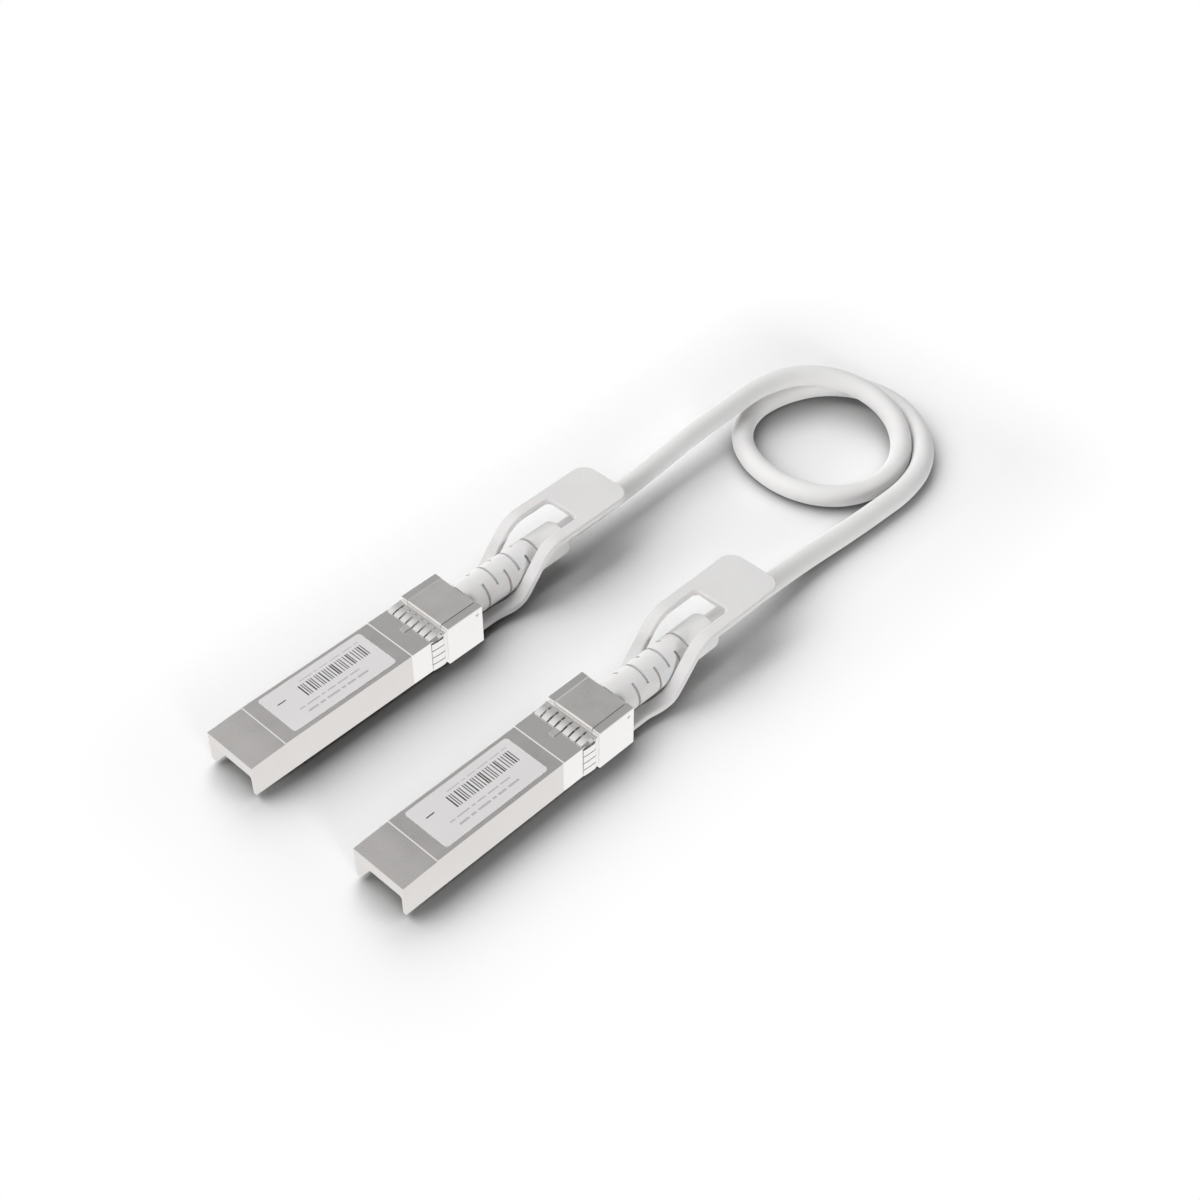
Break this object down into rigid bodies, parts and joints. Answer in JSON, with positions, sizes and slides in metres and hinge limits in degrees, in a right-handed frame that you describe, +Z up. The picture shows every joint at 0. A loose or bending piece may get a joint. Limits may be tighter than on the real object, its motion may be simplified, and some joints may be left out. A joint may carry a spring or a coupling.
{
  "type": "direct attach ethernet cable",
  "caption": "Direct-attach ethernet cable: metal pluggable plugs with spring fingers and spring-returned pull tabs, slit strain-relief boots and a short round cable in a loop.",
  "frame": {"origin": "centre of the pair of plugs, tabs included and cable left out, on the plane that they rest on", "axes": "+X along the plugs from connector end to cable, +Y from plug a to plug b, +Z up"},
  "size_m": [0.1807, 0.056, 0.013],
  "materials": {
    "satin_metal": "satin nickel plate",
    "polished_metal": "bright nickel plate",
    "pin_steel": "ground",
    "screw_steel": "plain",
    "spring_metal": "bright",
    "label_film": "smooth film",
    "card_laminate": "solder mask",
    "contact_gold": "gold plate",
    "chip_black": "moulded",
    "capacitor_ceramic": "ceramic",
    "core_insulation": "smooth",
    "copper": "tinned copper",
    "solder": "bright",
    "ferrule_metal": "plain",
    "braid_metal": "braid",
    "boot_rubber": "matt",
    "tab_plastic": "matt",
    "slide_steel": "stamped",
    "spring_wire": "drawn",
    "cable_jacket": "matt"
  },
  "bodies": {
    "plugs_and_cable": {"front_cover_a": "satin_metal", "base_casting_a": "polished_metal", "head_cap_a": "satin_metal", "cap_pins_a": "pin_steel", "case_screw_a": "screw_steel", "spring_finger_clip_a": "spring_metal", "label_a": "label_film", "paddle_card_a": "card_laminate", "contact_pads_a": "contact_gold", "memory_chip_a": "chip_black", "coupling_capacitors_a": "capacitor_ceramic", "signal_wires_a": "core_insulation", "conductor_tips_a": "copper", "solder_joints_a": "solder", "crimp_ferrule_a": "ferrule_metal", "shield_braid_a": "braid_metal", "strain_relief_boot_a": "boot_rubber", "return_springs_a": "spring_wire", "front_cover_b": "satin_metal", "base_casting_b": "polished_metal", "head_cap_b": "satin_metal", "cap_pins_b": "pin_steel", "case_screw_b": "screw_steel", "spring_finger_clip_b": "spring_metal", "label_b": "label_film", "paddle_card_b": "card_laminate", "contact_pads_b": "contact_gold", "memory_chip_b": "chip_black", "coupling_capacitors_b": "capacitor_ceramic", "signal_wires_b": "core_insulation", "conductor_tips_b": "copper", "solder_joints_b": "solder", "crimp_ferrule_b": "ferrule_metal", "shield_braid_b": "braid_metal", "strain_relief_boot_b": "boot_rubber", "return_springs_b": "spring_wire", "cable": "cable_jacket"},
    "release_a": {"pull_tab_a": "tab_plastic", "release_slide_a": "slide_steel"},
    "release_b": {"pull_tab_b": "tab_plastic", "release_slide_b": "slide_steel"}
  },
  "joints": [
    {"name": "tab_pull_a", "type": "slide", "parent": "plugs_and_cable", "child": "release_a", "axis": [1, 0, 0], "range_m": [0, 0.0024], "stiffness_N_per_m": 600, "deforming": ["return_springs_a"]},
    {"name": "tab_pull_b", "type": "slide", "parent": "plugs_and_cable", "child": "release_b", "axis": [1, 0, 0], "range_m": [0, 0.0024], "stiffness_N_per_m": 600, "deforming": ["return_springs_b"]}
  ]
}
